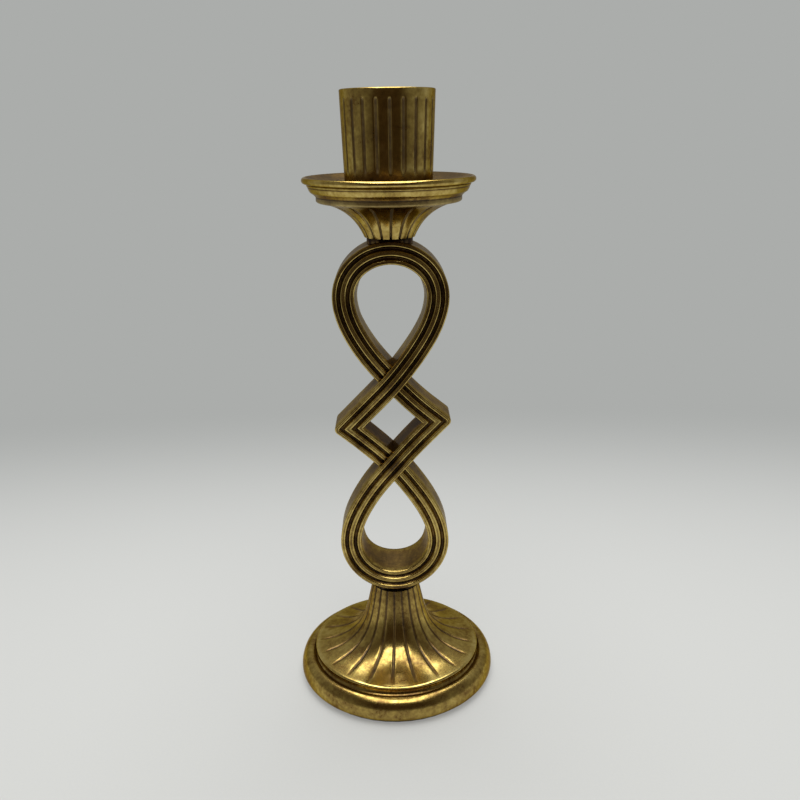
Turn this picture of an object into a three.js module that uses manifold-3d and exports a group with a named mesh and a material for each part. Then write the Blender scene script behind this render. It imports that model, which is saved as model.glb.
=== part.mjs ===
// A cast brass candle holder. An interlaced, reeded ribbon stands on a fluted bell foot and carries
// a fluted neck, a moulded drip pan and a fluted candle cup. A bolt from under the foot and a screw
// from inside the cup hold the castings together. Millimetres, +Z up. The origin is on the table,
// under the middle of the foot, and the ribbon's face looks along -Y.

import * as THREE from 'three';
import { mergeVertices } from 'three/addons/utils/BufferGeometryUtils.js';
import Module from 'manifold-3d';

const wasm = await Module();
wasm.setup();

// Clearances
const spigotClearance = 0.3;
const shankClearance = 0.3;
const feltClearance = 0.3;
const tipClearance = 0.6;

// Felt pad under the foot
const feltThickness = 1.5;
const feltProud = 0.5;

// Foot: a hollow bell with incised flutes and a crisp edge, and a half-round rim that rolls in under it
const footHeight = 36.7;
const footTopRadius = 8.5;
const bellTopLean = 14.4;
const bellTopPull = 12.7;
const bellEdgeSetback = 5.5;
const bellEdgeHeight = 11.8;
const bellEdgeSlope = 6.4;
const bellEdgePull = 20.1;
const rimRadius = 36.1;
const rimWidth = 3.7;
const rimTopHeight = 9.3;
const rimWidestHeight = 3.6;
const rimFloorInset = 0.9;
const rimLowTurn = -35;
const rimHighTurn = 118;
const footFluteCount = 21;
const footFluteWidth = 1.6;
const footFluteTopWidth = 0.9;
const footFluteDepth = 0.7;
const footFluteMargin = 1.6;
const footFluteTurn = -3.5;
const hollowTopRadius = 8.5;
const footCrown = 13.7;
const hollowTopPull = 6;
const hollowEdgePull = 13;
const bellWall = 3;
const rimWall = 5;
const feltLedge = 2.8;

// Ribbon stem: one band of three reeds, crossing itself twice, between a low and a high seat
const stemHeight = 127.3;
const ribbonWidth = 7.3;
const ribbonDepth = 13;
const ribbonEndDepth = 16.2;
const ribbonEdgeBevel = 0.5;
const reedGrooveWidth = 1.3;
const reedGrooveDepth = 1.1;
const middleReedWidth = 1.6;
const loopHalfWidth = 15.7;
const loopRise = 14.8;
const loopPull = 15.7;
const cornerReach = 15.55;
const cornerDrop = 1.1;
const upperStrandSlope = 46;
const lowerStrandSlope = 37.9;
const strandPull = 12;
const cornerRounding = 1.4;
const weaveLift = 0.8;
const weaveHalfLength = 14;
const bossRise = 0.8;
const bossBurial = 0.6;
const lowBossRadius = 8.3;
const highBossRadius = 7.6;
const bossBackset = 0.3;
const spigotRadius = 4.8;
const spigotLength = 2.5;
const tappedHoleFloor = 1.8;

// Neck: a fluted flare under the drip pan
const neckHeight = 11.2;
const neckFootRadius = 8.3;
const neckFootLean = 24;
const neckFootPull = 3.9;
const neckTopRadius = 21.9;
const neckTopLean = 76.5;
const neckTopPull = 9.2;
const neckFluteCount = 18;
const neckFluteFootWidth = 0.9;
const neckFluteWidth = 1.2;
const neckFluteDepth = 0.7;
const neckFluteEndRadius = 18.6;
const neckFluteTurn = 2.5;
const neckSpigotRadius = 9;
const neckSpigotLength = 1.6;

// Drip pan: a shallow dish with a rolled lip over a bead, a flared band, a slope and a low step
const panSeatHeight = 6.7;
const panFootRadius = 22.4;
const panStepRadius = 23.65;
const panStepRounding = 0.8;
const panStepHeight = 1.85;
const panSlopeRadius = 25.45;
const panSlopeHeight = 3.35;
const panBandRadius = 26.2;
const panBandHeight = 4.75;
const panBeadRadius = 0.5;
const panBeadInset = 0.2;
const panBeadTurn = 60;
const lipRadius = 28.1;
const lipThickness = 1.5;
const lipTopHeight = 7.55;
const lipTurn = 105;
const panDishHeight = 5.6;
const panDishRadius = 25;
const panSeatRadius = 15;

// Candle cup: a socket for a 7/8 inch taper candle
const cupHeight = 27.6;
const cupFootRadius = 14.2;
const cupRimRadius = 15.15;
const cupPlainFoot = 2.4;
const cupRimBand = 3.1;
const cupEdgeBevel = 0.4;
const cupFluteCount = 22;
const cupFluteWidth = 1.5;
const cupFluteDepth = 0.6;
const cupFluteTurn = 2.5;
const cupFluteRunOut = 1;
const socketRadius = 11.25;
const socketDepth = 20.6;
const socketMouthBevel = 0.6;
const counterboreRadius = 6.4;
const counterboreDepth = 4.4;
const cupSpigotRadius = 7;
const cupSpigotLength = 1.5;

// Fasteners: an M6 hexagon bolt from below, an M6 slotted screw from above, a washer under each head
const shankRadius = 3;
const boltHeadFlats = 10;
const boltHeadHeight = 4;
const screwHeadRadius = 5.2;
const screwHeadHeight = 2.8;
const screwSlotWidth = 1.4;
const screwSlotDepth = 1.3;
const washerRadius = 6;
const washerThickness = 1;

// How finely round shapes are cut into flats
const pointsPerFlute = 4;
const roundSides = 48;
const boreSides = 36;
const fastenerSides = 24;
const bellSteps = 7;
const hollowSteps = 3;
const flareSteps = 5;
const rollSteps = 5;
const mouldingSteps = 3;
const arcSteps = 8;
const strandSteps = 8;

// Places worked up from the table, and sizes that follow from the ones above
const rimFloor = feltProud;
const bellEdgeRadius = rimRadius - bellEdgeSetback;
const hollowTopHeight = footHeight - footCrown;
const stemSeat = footHeight;
const stemMiddle = stemSeat + stemHeight / 2;
const neckSeat = stemSeat + stemHeight;
const panSeat = neckSeat + neckHeight;
const cupSeat = panSeat + panSeatHeight;
const cupRim = cupSeat + cupHeight;
const socketFloor = cupRim - socketDepth;
const counterboreFloor = socketFloor - counterboreDepth;
const boltHoleRadius = shankRadius + shankClearance;
const spigotHoleRadius = spigotRadius + spigotClearance;
const spigotHoleDepth = spigotLength + spigotClearance;
const loopHalfHeight = stemHeight / 2 - bossRise - ribbonWidth / 2;
const tappedHoleDepth = bossRise + ribbonWidth - tappedHoleFloor;

const radians = THREE.MathUtils.degToRad;

function point(radius, height) {
  return new THREE.Vector2(radius, height);
}

function brass(colour, roughness) {
  return new THREE.MeshStandardMaterial({ color: colour, roughness, metalness: 1 });
}

// A closed mesh as a solid for joining and cutting
function toSolid(geometry) {
  const bare = new THREE.BufferGeometry();
  bare.setAttribute('position', geometry.attributes.position.clone());
  if (geometry.index) bare.setIndex(geometry.index.clone());
  const merged = mergeVertices(bare);
  const corners = merged.index.array;
  const triangles = [];
  for (let i = 0; i < corners.length; i += 3) {
    const [a, b, c] = [corners[i], corners[i + 1], corners[i + 2]];
    if (a !== b && b !== c && c !== a) triangles.push(a, b, c);
  }
  return new wasm.Manifold(new wasm.Mesh({
    numProp: 3,
    vertProperties: new Float32Array(merged.attributes.position.array),
    triVerts: new Uint32Array(triangles),
  }));
}

function toGeometry(solid) {
  const mesh = solid.getMesh();
  const geometry = new THREE.BufferGeometry();
  geometry.setAttribute('position', new THREE.BufferAttribute(mesh.vertProperties, 3));
  geometry.setIndex(new THREE.BufferAttribute(mesh.triVerts, 1));
  geometry.computeVertexNormals();
  return geometry;
}

// A turned piece: an outline of (radius, height) points, drawn up the outside, about +Z
function turned(outline, sides) {
  return new THREE.LatheGeometry(outline, sides).rotateX(Math.PI / 2);
}

function ring(outline) {
  return [...outline, outline[0].clone()];
}

function cylinder(radius, low, high, sides) {
  return turned([point(0, low), point(radius, low), point(radius, high), point(0, high)], sides);
}

function arc(centre, radiusAcross, radiusUp, from, to, steps) {
  const curve = new THREE.EllipseCurve(
    centre.x, centre.y, radiusAcross, radiusUp, radians(from), radians(to), to < from);
  return curve.getPoints(steps);
}

// A turned piece with V-shaped flutes along a run of its outline, with a width at each end of the run.
// Each flute has four points around it: the bottom of the groove, its two edges and the middle of the
// land.
function flutedTurning(outline, run, { count, width, endWidth, depth, turn }) {
  const geometry = new THREE.LatheGeometry(outline, count * pointsPerFlute);
  const position = geometry.attributes.position;
  const pitch = 2 * Math.PI / count;
  for (let column = 0; column <= count * pointsPerFlute; column++) {
    const flute = Math.floor(column / pointsPerFlute);
    const place = column % pointsPerFlute;
    outline.forEach((spot, row) => {
      const cut = run.includes(spot);
      const across = THREE.MathUtils.mapLinear(spot.x, run[0].x, run.at(-1).x, width, endWidth);
      const edge = cut ? across / 2 / spot.x : pitch / pointsPerFlute;
      const angles = [0, edge, pitch / 2, pitch - edge];
      const angle = radians(turn) + flute * pitch + angles[place];
      const shown = cut && place === 0 ? grooveBottom(run, spot, depth) : spot;
      position.setXYZ(column * outline.length + row,
        shown.x * Math.sin(angle), shown.y, shown.x * Math.cos(angle));
    });
  }
  return geometry.rotateX(Math.PI / 2);
}

// The bottom of a groove, square to the surface, or straight in at the ends so that they stay flat
function grooveBottom(run, spot, depth) {
  const place = run.indexOf(spot);
  if (place === 0 || place === run.length - 1) return point(spot.x - depth, spot.y);
  const along = run[place + 1].clone().sub(run[place - 1]).normalize();
  return point(spot.x - depth * along.y, spot.y + depth * along.x);
}

function bored(blank, bore) {
  return toGeometry(toSolid(blank).subtract(toSolid(bore)));
}

// A solid through a row of like sections. The flat outline of a section closes both ends.
function loft(sections, outline) {
  const size = sections[0].length;
  const vertices = sections.flat().flatMap((corner) => corner.toArray());
  const triangles = [];
  for (let s = 0; s < sections.length - 1; s++) {
    for (let k = 0; k < size; k++) {
      const next = (k + 1) % size;
      const [a, b] = [s * size + k, s * size + next];
      const [c, d] = [a + size, b + size];
      triangles.push(a, d, b, a, c, d);
    }
  }
  const last = (sections.length - 1) * size;
  for (const [a, b, c] of THREE.ShapeUtils.triangulateShape(outline, [])) {
    triangles.push(a, b, c, last + a, last + c, last + b);
  }
  const geometry = new THREE.BufferGeometry();
  geometry.setAttribute('position', new THREE.Float32BufferAttribute(vertices, 3));
  geometry.setIndex(triangles);
  return geometry;
}

// Felt pad
function feltPad() {
  const radius = rimRadius - rimWall + feltLedge - feltClearance;
  return cylinder(radius, 0, feltThickness, roundSides);
}

// Foot
function bellCurve() {
  const top = point(footTopRadius, footHeight);
  const edge = point(bellEdgeRadius, bellEdgeHeight);
  const lean = radians(bellTopLean);
  const slope = radians(bellEdgeSlope);
  return new THREE.CubicBezierCurve(
    edge,
    point(edge.x - bellEdgePull * Math.cos(slope), edge.y + bellEdgePull * Math.sin(slope)),
    point(top.x + bellTopPull * Math.sin(lean), top.y - bellTopPull * Math.cos(lean)),
    top);
}

function hollowCurve() {
  const top = point(hollowTopRadius, hollowTopHeight);
  const edge = point(bellEdgeRadius - bellWall, bellEdgeHeight - bellWall);
  const lean = radians(bellTopLean);
  const slope = radians(bellEdgeSlope);
  return new THREE.CubicBezierCurve(
    edge,
    point(edge.x - hollowEdgePull * Math.cos(slope), edge.y + hollowEdgePull * Math.sin(slope)),
    point(top.x + hollowTopPull * Math.sin(lean), top.y - hollowTopPull * Math.cos(lean)),
    top);
}

function foot() {
  const rimCentre = point(rimRadius - rimWidth, rimWidestHeight);
  const ledgeRadius = rimRadius - rimWall + feltLedge;
  const innerRimRadius = rimRadius - rimWall;
  const bell = bellCurve().getPoints(bellSteps);
  const blank = flutedTurning([
    point(0, rimFloor),
    point(rimRadius - rimFloorInset, rimFloor),
    ...arc(rimCentre, rimWidth, rimWidestHeight - rimFloor, rimLowTurn, 0, 1),
    ...arc(rimCentre, rimWidth, rimTopHeight - rimWidestHeight, 0, rimHighTurn, rollSteps).slice(1),
    ...bell,
    point(0, footHeight),
  ], bell.filter((spot) => spot.x < bellEdgeRadius - footFluteMargin), {
    count: footFluteCount,
    width: footFluteWidth,
    endWidth: footFluteTopWidth,
    depth: footFluteDepth,
    turn: footFluteTurn,
  });
  const bore = turned([
    point(0, rimFloor - feltProud),
    point(ledgeRadius, rimFloor - feltProud),
    point(ledgeRadius, feltThickness),
    point(innerRimRadius, feltThickness),
    point(innerRimRadius, rimWidestHeight),
    ...hollowCurve().getPoints(hollowSteps),
    point(boltHoleRadius, hollowTopHeight),
    point(boltHoleRadius, footHeight - spigotHoleDepth),
    point(spigotHoleRadius, footHeight - spigotHoleDepth),
    point(spigotHoleRadius, footHeight + spigotLength),
    point(0, footHeight + spigotLength),
  ], roundSides);
  return bored(blank, bore);
}

// Ribbon stem
// The band's section, across its width and through its depth: three reeds on the front and back
function ribbonSection() {
  const half = ribbonWidth / 2;
  const face = ribbonDepth / 2;
  const nearEdge = middleReedWidth / 2;
  const farEdge = nearEdge + reedGrooveWidth;
  const valley = (nearEdge + farEdge) / 2;
  const front = [
    point(-half, -face + ribbonEdgeBevel),
    point(-half + ribbonEdgeBevel, -face),
    point(-farEdge, -face),
    point(-valley, -face + reedGrooveDepth),
    point(-nearEdge, -face),
  ];
  const frontRight = front.map((corner) => point(-corner.x, corner.y)).reverse();
  const back = [...front, ...frontRight].map((corner) => point(-corner.x, -corner.y));
  return [...front, ...frontRight, ...back];
}

// Half of the band, from the top of the upper loop to the bottom of the lower one. It passes the
// upper crossing in front, turns at the left corner and passes the lower crossing behind. At both
// ends it runs half a step past the middle, so that the two halves share a flat there.
function strandStations() {
  const loopMiddle = loopHalfHeight - loopRise;
  const corner = point(-cornerReach, -cornerDrop);
  const up = radians(upperStrandSlope);
  const down = radians(lowerStrandSlope);
  const quarter = Math.PI / 2;
  const halfStep = quarter / (2 * arcSteps - 1);
  const stations = [
    ...loopStations(loopMiddle, quarter + halfStep, 0),
    ...strandRun(
      point(loopHalfWidth, loopMiddle),
      point(loopHalfWidth, loopMiddle - loopPull),
      point(corner.x + strandPull * Math.cos(up), corner.y + strandPull * Math.sin(up)),
      corner),
    ...strandRun(
      corner,
      point(corner.x + strandPull * Math.cos(down), corner.y - strandPull * Math.sin(down)),
      point(loopHalfWidth, loopPull - loopMiddle),
      point(loopHalfWidth, -loopMiddle)),
    ...loopStations(-loopMiddle, 0, -quarter - halfStep),
  ];
  return stations.filter((station, i) => {
    const next = stations[i + 1];
    if (!next || next.middle.distanceTo(station.middle) > 0) return true;
    next.across.copy(mitre(station.across, next.across));
    return false;
  });
}

// Stations round a quarter of a loop, from one angle down to another
function loopStations(height, from, to) {
  return Array.from({ length: arcSteps + 1 }, (_, i) => {
    const angle = THREE.MathUtils.lerp(from, to, i / arcSteps);
    const [across, up] = [Math.cos(angle), Math.sin(angle)];
    return {
      middle: point(loopHalfWidth * across, height + loopRise * up),
      across: point(loopRise * across, loopHalfWidth * up).normalize(),
    };
  });
}

// Stations along a strand between a loop and a corner
function strandRun(start, startPull, endPull, end) {
  const curve = new THREE.CubicBezierCurve(start, startPull, endPull, end);
  return Array.from({ length: strandSteps + 1 }, (_, i) => {
    const along = curve.getTangent(i / strandSteps);
    return { middle: curve.getPoint(i / strandSteps), across: point(-along.y, along.x) };
  });
}

// The direction across a corner that keeps both sides of the band at full width
function mitre(before, after) {
  const across = before.clone().add(after).normalize();
  return across.divideScalar(across.dot(before));
}

// How far a strand moves forwards or back where it passes another one
function weave(middle) {
  const share = (centre) => {
    const away = Math.min(middle.distanceTo(centre) / weaveHalfLength, 1);
    return (1 + Math.cos(Math.PI * away)) / 2;
  };
  const crossing = crossingHeight();
  return weaveLift * (share(point(0, -crossing)) - share(point(0, crossing)));
}

// The height above the stem's middle where the upper strands cross
function crossingHeight() {
  return cornerReach * Math.tan(radians((upperStrandSlope + lowerStrandSlope) / 2)) + cornerDrop;
}

// How much further the front stands out at a station: the band deepens towards its two ends
function swell(middle) {
  const loopMiddle = loopHalfHeight - loopRise;
  const share = THREE.MathUtils.clamp((Math.abs(middle.y) - loopMiddle) / loopRise, 0, 1);
  return share * share * (ribbonEndDepth - ribbonDepth) / 2;
}

function strand() {
  const section = ribbonSection();
  const sections = strandStations().map(({ middle, across }) => {
    const lift = weave(middle);
    const out = swell(middle);
    return section.map((corner) => new THREE.Vector3(
      middle.x + across.x * corner.x,
      corner.y + out * Math.sign(corner.y) + lift,
      stemMiddle + middle.y + across.y * corner.x));
  });
  return loft(sections, section);
}

// A tool that rounds the sharp upright edge at the outside of the left corner
function cornerTool() {
  const stations = strandStations();
  const { middle, across } = stations.find((station) => station.middle.x === -cornerReach);
  const outside = across.x < 0 ? 1 : -1;
  const tip = middle.clone().addScaledVector(across, outside * ribbonWidth / 2);
  const bisector = across.clone().multiplyScalar(outside).normalize();
  const halfAngle = Math.asin(1 / across.length());
  const reach = cornerRounding / Math.sin(halfAngle);
  const centre = tip.clone().addScaledVector(bisector, -reach);
  const facing = bisector.angle();
  const spread = Math.PI / 2 - halfAngle;
  const shape = new THREE.Shape();
  const beyond = tip.clone().addScaledVector(bisector, reach);
  const start = point(cornerRounding, 0).rotateAround(point(0, 0), facing - spread).add(centre);
  shape.moveTo(beyond.x, beyond.y);
  shape.lineTo(start.x, start.y);
  shape.absarc(centre.x, centre.y, cornerRounding, facing - spread, facing + spread, false);
  shape.closePath();
  const depth = ribbonDepth + 4 * weaveLift;
  const tool = new THREE.ExtrudeGeometry(shape, { depth, bevelEnabled: false, curveSegments: 6 });
  tool.translate(0, 0, -depth / 2);
  tool.rotateX(Math.PI / 2);
  return tool.translate(0, 0, stemMiddle);
}

// A flat-sided seat on the end of the band, with a round spigot below it
function stemSeatBoss(radius) {
  const bury = bossRise + ribbonWidth * bossBurial;
  const slab = 2 * (ribbonEndDepth / 2 - reedGrooveDepth - bossBackset);
  const round = toSolid(cylinder(radius, stemSeat, stemSeat + bury, roundSides));
  const sides = new THREE.BoxGeometry(4 * radius, slab, 4 * bury);
  const boss = round.intersect(toSolid(sides.translate(0, 0, stemSeat)));
  const spigot = cylinder(spigotRadius, stemSeat - spigotLength, stemSeat + bossRise, fastenerSides);
  return boss.add(toSolid(spigot));
}

function tappedHole() {
  const below = stemSeat - 2 * spigotLength;
  return toSolid(cylinder(boltHoleRadius, below, stemSeat + tappedHoleDepth, fastenerSides));
}

// The solid turned half round about the stem's front-to-back axis
function turnedOver(solid) {
  const geometry = toGeometry(solid);
  geometry.translate(0, 0, -stemMiddle);
  geometry.rotateY(Math.PI);
  return toSolid(geometry.translate(0, 0, stemMiddle));
}

function ribbonStem() {
  const half = toSolid(strand()).subtract(toSolid(cornerTool()));
  const band = half.add(turnedOver(half));
  const ends = stemSeatBoss(lowBossRadius).add(turnedOver(stemSeatBoss(highBossRadius)));
  const holes = tappedHole().add(turnedOver(tappedHole()));
  return toGeometry(band.add(ends).subtract(holes));
}

// Neck
function neck() {
  const low = point(neckFootRadius, neckSeat);
  const high = point(neckTopRadius, panSeat);
  const lowLean = radians(neckFootLean);
  const highLean = radians(neckTopLean);
  const flare = new THREE.CubicBezierCurve(
    low,
    point(low.x + neckFootPull * Math.sin(lowLean), low.y + neckFootPull * Math.cos(lowLean)),
    point(high.x - neckTopPull * Math.sin(highLean), high.y - neckTopPull * Math.cos(highLean)),
    high).getPoints(flareSteps);
  const blank = flutedTurning([
    point(0, neckSeat),
    ...flare,
    point(neckSpigotRadius, panSeat),
    point(neckSpigotRadius, panSeat + neckSpigotLength),
    point(0, panSeat + neckSpigotLength),
  ], flare.filter((spot) => spot.x < neckFluteEndRadius), {
    count: neckFluteCount,
    width: neckFluteFootWidth,
    endWidth: neckFluteWidth,
    depth: neckFluteDepth,
    turn: neckFluteTurn,
  });
  const bore = turned([
    point(0, neckSeat - spigotLength),
    point(spigotHoleRadius, neckSeat - spigotLength),
    point(spigotHoleRadius, neckSeat + spigotHoleDepth),
    point(boltHoleRadius, neckSeat + spigotHoleDepth),
    point(boltHoleRadius, panSeat + 2 * neckSpigotLength),
    point(0, panSeat + 2 * neckSpigotLength),
  ], boreSides);
  return bored(blank, bore);
}

// Drip pan
function dripPan() {
  const lip = lipThickness / 2;
  const lipCentre = point(lipRadius - lip, panSeat + lipTopHeight - lip);
  const recess = neckSpigotRadius + spigotClearance;
  const recessTop = panSeat + neckSpigotLength + spigotClearance;
  const cupRecess = cupSpigotRadius + spigotClearance;
  const cupRecessFloor = cupSeat - cupSpigotLength - spigotClearance;
  const step = point(panFootRadius, panSeat + panStepRounding);
  const stepWidth = panStepRadius - panFootRadius;
  const bead = point(panBandRadius - panBeadInset, panSeat + panBandHeight + panBeadRadius);
  return turned(ring([
    point(boltHoleRadius, recessTop),
    point(recess, recessTop),
    point(recess, panSeat),
    ...arc(step, stepWidth, panStepRounding, -90, 0, mouldingSteps),
    point(panStepRadius, panSeat + panStepHeight),
    point(panSlopeRadius, panSeat + panSlopeHeight),
    ...arc(bead, panBeadRadius, panBeadRadius, -panBeadTurn, panBeadTurn, mouldingSteps),
    ...arc(lipCentre, lip, lip, -lipTurn, lipTurn, rollSteps),
    point(panDishRadius, panSeat + panDishHeight),
    point(panSeatRadius, panSeat + panDishHeight),
    point(panSeatRadius, cupSeat),
    point(cupRecess, cupSeat),
    point(cupRecess, cupRecessFloor),
    point(boltHoleRadius, cupRecessFloor),
  ]), roundSides);
}

// Candle cup
function candleCup() {
  const fluteLow = cupSeat + cupPlainFoot;
  const fluteHigh = cupRim - cupRimBand;
  const flare = (cupRimRadius - cupFootRadius) / cupHeight;
  const wall = (height) => point(cupFootRadius + flare * (height - cupSeat), height);
  const flutes = [
    wall(fluteLow + cupFluteRunOut),
    wall((fluteLow + fluteHigh) / 2),
    wall(fluteHigh - cupFluteRunOut / 2),
  ];
  const blank = flutedTurning([
    point(0, cupSeat - cupSpigotLength),
    point(cupSpigotRadius, cupSeat - cupSpigotLength),
    point(cupSpigotRadius, cupSeat),
    point(cupFootRadius, cupSeat),
    wall(fluteLow),
    ...flutes,
    wall(fluteHigh),
    wall(cupRim - cupEdgeBevel),
    point(cupRimRadius - cupEdgeBevel, cupRim),
    point(0, cupRim),
  ], flutes, {
    count: cupFluteCount,
    width: cupFluteWidth,
    endWidth: cupFluteWidth,
    depth: cupFluteDepth,
    turn: cupFluteTurn,
  });
  const bore = turned([
    point(0, cupSeat - 2 * cupSpigotLength),
    point(boltHoleRadius, cupSeat - 2 * cupSpigotLength),
    point(boltHoleRadius, counterboreFloor),
    point(counterboreRadius, counterboreFloor),
    point(counterboreRadius, socketFloor),
    point(socketRadius, socketFloor),
    point(socketRadius, cupRim - socketMouthBevel),
    point(socketRadius + 2 * socketMouthBevel, cupRim + socketMouthBevel),
    point(0, cupRim + socketMouthBevel),
  ], roundSides);
  return bored(blank, bore);
}

// Fasteners
function washer(low) {
  return turned(ring([
    point(boltHoleRadius, low),
    point(washerRadius, low),
    point(washerRadius, low + washerThickness),
    point(boltHoleRadius, low + washerThickness),
  ]), fastenerSides);
}

function footBolt() {
  const headTop = hollowTopHeight - washerThickness;
  const tip = stemSeat + tappedHoleDepth - tipClearance;
  const across = boltHeadFlats / Math.sqrt(3);
  const head = toSolid(cylinder(across, headTop - boltHeadHeight, headTop, 6));
  const shank = toSolid(cylinder(shankRadius, headTop - boltHeadHeight / 2, tip, fastenerSides));
  return toGeometry(head.add(shank));
}

function cupScrew() {
  const headLow = counterboreFloor + washerThickness;
  const headTop = headLow + screwHeadHeight;
  const tip = neckSeat - tappedHoleDepth + tipClearance;
  const blank = turned([
    point(0, tip),
    point(shankRadius, tip),
    point(shankRadius, headLow),
    point(screwHeadRadius, headLow),
    point(screwHeadRadius, headTop),
    point(0, headTop),
  ], fastenerSides);
  const slot = new THREE.BoxGeometry(4 * screwHeadRadius, screwSlotWidth, 2 * screwSlotDepth);
  return toGeometry(toSolid(blank).subtract(toSolid(slot.translate(0, 0, headTop))));
}

const pieces = [
  ['felt_pad', feltPad(), new THREE.MeshStandardMaterial({ color: 0x26352a, roughness: 1, metalness: 0 })],
  ['foot', foot(), brass(0x9a7a34, 0.36)],
  ['foot_washer', washer(hollowTopHeight - washerThickness), brass(0xa9924f, 0.4)],
  ['foot_bolt', footBolt(), brass(0xa08a4a, 0.4)],
  ['ribbon_stem', ribbonStem(), brass(0x86692f, 0.38)],
  ['neck', neck(), brass(0x8f7234, 0.36)],
  ['drip_pan', dripPan(), brass(0x9c7d38, 0.34)],
  ['candle_cup', candleCup(), brass(0x8c6d2e, 0.36)],
  ['cup_washer', washer(counterboreFloor), brass(0xa9924f, 0.4)],
  ['cup_screw', cupScrew(), brass(0xa08a4a, 0.4)],
];

const candleHolder = new THREE.Group();
for (const [name, geometry, material] of pieces) {
  const mesh = new THREE.Mesh(geometry, material);
  mesh.name = name;
  candleHolder.add(mesh);
}

export default candleHolder;
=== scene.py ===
# A cast brass candle holder with an antique finish: a fluted bell foot, an interlaced ribbon stem, a
# fluted neck, a moulded drip pan and a fluted candle cup, held together by a bolt and a screw.
# Sizes are in millimetres, turned to metres by MM. The reeded face of the ribbon looks along -Y.
import math
import bpy
from mathutils import Matrix, Vector, kdtree


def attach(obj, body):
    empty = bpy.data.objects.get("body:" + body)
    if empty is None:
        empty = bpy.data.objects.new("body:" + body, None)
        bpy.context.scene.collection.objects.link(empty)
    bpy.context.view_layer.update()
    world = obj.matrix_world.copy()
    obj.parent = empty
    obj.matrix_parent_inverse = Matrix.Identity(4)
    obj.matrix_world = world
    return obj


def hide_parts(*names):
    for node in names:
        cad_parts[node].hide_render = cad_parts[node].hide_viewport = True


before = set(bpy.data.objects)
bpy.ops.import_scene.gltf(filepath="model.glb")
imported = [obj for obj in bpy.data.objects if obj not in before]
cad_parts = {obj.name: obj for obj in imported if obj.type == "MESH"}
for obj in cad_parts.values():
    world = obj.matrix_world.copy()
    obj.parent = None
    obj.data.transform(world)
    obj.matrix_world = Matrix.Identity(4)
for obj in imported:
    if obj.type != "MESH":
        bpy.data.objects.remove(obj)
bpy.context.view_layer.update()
MM = 0.001


# Felt pad: a disc of dark green pressed wool felt, cut with a die and glued into the ledge under the
# foot. Only its edge shows, as a dark line between the foot and the table.
def linear(hex_colour):
    """The linear colour, with alpha, of an sRGB hex value."""
    channels = [int(hex_colour[i:i + 2], 16) / 255 for i in (1, 3, 5)]
    return [c / 12.92 if c <= 0.04045 else ((c + 0.055) / 1.055) ** 2.4 for c in channels] + [1]


def add_node(material, kind, inputs, **settings):
    """Adds a node, sets its settings, and links or sets each of its inputs."""
    node = material.node_tree.nodes.new(kind)
    for name, value in settings.items():
        setattr(node, name, value)
    for name, value in inputs.items():
        if isinstance(value, bpy.types.NodeSocket):
            material.node_tree.links.new(value, node.inputs[name])
        else:
            node.inputs[name].default_value = value
    return node


def new_material(name):
    """An empty material with its shader, and that shader."""
    material = bpy.data.materials.new(name)
    material.use_nodes = True
    return material, material.node_tree.nodes["Principled BSDF"]


def link(material, output, node, name):
    """Links an output to the input of that name."""
    material.node_tree.links.new(output, node.inputs[name])


def dress(piece, material):
    """Gives a piece one material in place of those that it has."""
    piece.data.materials.clear()
    piece.data.materials.append(material)


# Pressed wool: matt and a little cloudy, with short fibres lying every way, drawn coarser than they
# are so that they show
felt_fibre, felt_cloud, felt_nap = 0.6, 5, 0.2
pressed_felt, shader = new_material("pressed_wool_felt")
place = add_node(pressed_felt, "ShaderNodeTexCoord", {}).outputs["Object"]
fibres = add_node(pressed_felt, "ShaderNodeTexNoise", {
    "Vector": place, "Scale": 1 / (felt_fibre * MM), "Detail": 3, "Distortion": 1.5})
clouds = add_node(pressed_felt, "ShaderNodeTexNoise", {
    "Vector": place, "Scale": 1 / (felt_cloud * MM)})
shade = add_node(pressed_felt, "ShaderNodeMath", {
    0: fibres.outputs["Fac"], 1: clouds.outputs["Fac"]}, operation="MULTIPLY")
green = add_node(pressed_felt, "ShaderNodeMix", {
    0: shade.outputs[0], 6: linear("#16241A"), 7: linear("#46604B")}, data_type="RGBA")
nap = add_node(pressed_felt, "ShaderNodeBump", {
    "Height": fibres.outputs["Fac"], "Strength": 0.5, "Distance": felt_nap * MM})
link(pressed_felt, green.outputs[2], shader, "Base Color")
link(pressed_felt, nap.outputs["Normal"], shader, "Normal")
shader.inputs["Roughness"].default_value = 0.95
shader.inputs["Sheen Weight"].default_value = 0.3
dress(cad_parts["felt_pad"], pressed_felt)


# Foot: a hollow bell of cast brass with 21 incised flutes, a crisp edge, a cove and a half-round rim.
# Turned after casting, dipped to a dark brown patina and rubbed back to gold on the high places.
def bezier(start, pull, last_pull, end, share):
    """The point at that share of a cubic curve through (across, up) points."""
    rest = 1 - share
    return (start * rest ** 3 + pull * (3 * rest * rest * share)
            + last_pull * (3 * rest * share * share) + end * share ** 3)


def arc(centre, across, up, first, last, steps):
    """Points round an ellipse, from one angle to another in degrees."""
    angles = [math.radians(first + (last - first) * i / steps) for i in range(steps + 1)]
    return [centre + Vector((across * math.cos(a), up * math.sin(a))) for a in angles]


def close_seams(gap):
    """Merges vertices of the active mesh that lie within the gap, and turns its faces outward."""
    bpy.ops.object.mode_set(mode="EDIT")
    bpy.ops.mesh.select_all(action="SELECT")
    bpy.ops.mesh.remove_doubles(threshold=gap * MM)
    bpy.ops.mesh.normals_make_consistent(inside=False)
    bpy.ops.object.mode_set(mode="OBJECT")


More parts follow.
